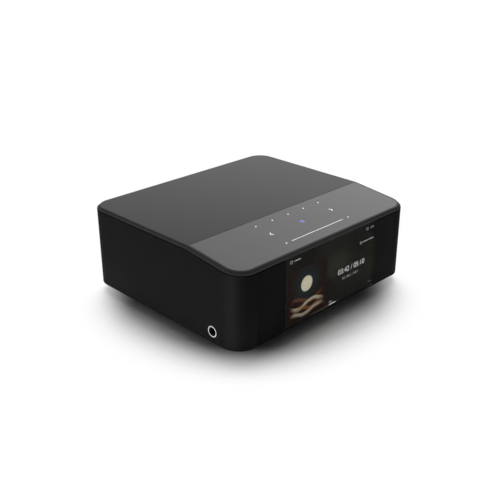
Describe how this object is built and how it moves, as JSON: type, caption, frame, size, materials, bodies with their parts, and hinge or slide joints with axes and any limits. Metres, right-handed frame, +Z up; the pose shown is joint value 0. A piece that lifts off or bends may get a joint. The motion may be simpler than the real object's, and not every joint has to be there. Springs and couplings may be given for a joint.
{
  "type": "network music streamer",
  "caption": "Low rounded desktop music streamer: dark metal case, bevelled top with a sloping touch panel, wide front glass over a colour display, side headphone sockets, rear socket bay.",
  "frame": {"origin": "middle of the footprint, on the table", "axes": "+X to the right seen from the front, -Y towards the front glass, +Z up"},
  "size_m": [0.2206, 0.1924, 0.0835],
  "materials": {
    "case_metal": "dark anodised, fine satin",
    "front_glass": "black glass, polished",
    "touch_glass": "black glass, satin sheen",
    "seal_black": "matt foam rubber",
    "screen": "lit display",
    "film_amber": "amber film",
    "plastic_pale": "moulded, matt",
    "lamp_clear": "clear lamp body",
    "board_green": "solder mask",
    "sheet_steel": "zinc plated sheet",
    "screw_steel": "plated",
    "screw_black": "black oxide",
    "plastic_black": "fine moulded texture",
    "rubber_black": "matt",
    "socket_black": "black satin",
    "contact_gold": "gold plated",
    "socket_metal": "nickel plated",
    "ring_chrome": "bright",
    "capacitor_sleeve": "shrink sleeve",
    "ferrite": "sintered, matt",
    "heat_sink": "extruded"
  },
  "bodies": {
    "case": {"body_shell": "case_metal", "top_cover": "case_metal", "front_glass": "front_glass", "touch_panel": "touch_glass", "rim_gasket": "seal_black", "display_panel": "screen", "touch_film": "film_amber", "insulation_sheet": "film_amber", "light_mask": "plastic_pale", "display_ribbon": "plastic_pale", "rca_insulators": "plastic_pale", "mute_relays": "plastic_pale", "board_links": "plastic_pale", "touch_lamps": "lamp_clear", "touch_board": "board_green", "display_board": "board_green", "socket_board": "board_green", "main_board": "board_green", "dac_board": "board_green", "power_board": "board_green", "headphone_boards": "board_green", "wifi_antennas": "board_green", "display_bracket": "sheet_steel", "chassis_tray": "sheet_steel", "shield_can": "sheet_steel", "display_screws": "screw_steel", "board_standoffs": "screw_steel", "board_screws": "screw_steel", "dac_spacers": "screw_steel", "setup_switch": "screw_steel", "case_screws": "screw_black", "base_screws": "screw_black", "rear_screws": "screw_black", "base_plinth": "plastic_black", "rear_panel": "plastic_black", "optical_ports": "plastic_black", "mini_jacks": "plastic_black", "mains_inlet": "plastic_black", "headphone_jack_left": "plastic_black", "headphone_jack_right": "plastic_black", "main_chips": "plastic_black", "dac_chips": "plastic_black", "remote_eye": "plastic_black", "foot_pads": "rubber_black", "xlr_sockets": "socket_black", "xlr_pins": "contact_gold", "rca_sleeves": "contact_gold", "video_socket": "socket_metal", "network_socket": "socket_metal", "usb_a_socket": "socket_metal", "usb_c_socket": "socket_metal", "inlet_pins": "socket_metal", "headphone_rings": "ring_chrome", "dac_capacitors": "capacitor_sleeve", "bulk_capacitors": "capacitor_sleeve", "power_transformer": "ferrite", "power_heatsink": "heat_sink"},
    "setup_button": {"setup_button": "plastic_black"},
    "shutter_in": {"optical_shutter_in": "plastic_black"},
    "shutter_out": {"optical_shutter_out": "plastic_black"}
  },
  "joints": [
    {"name": "setup_press", "type": "slide", "parent": "case", "child": "setup_button", "axis": [0, -1, 0], "range_m": [0, 0.0008], "stiffness_N_per_m": 1500},
    {"name": "shutter_in_swing", "type": "hinge", "parent": "case", "child": "shutter_in", "pos_m": [-0.0351, 0.08455, 0.0622], "axis": [-1, 0, 0], "range_deg": [0, 80], "stiffness_Nm_per_rad": 0.0001, "springref_deg": -17.19},
    {"name": "shutter_out_swing", "type": "hinge", "parent": "case", "child": "shutter_out", "pos_m": [-0.0351, 0.08455, 0.0402], "axis": [-1, 0, 0], "range_deg": [0, 80], "stiffness_Nm_per_rad": 0.0001, "springref_deg": -17.19}
  ]
}
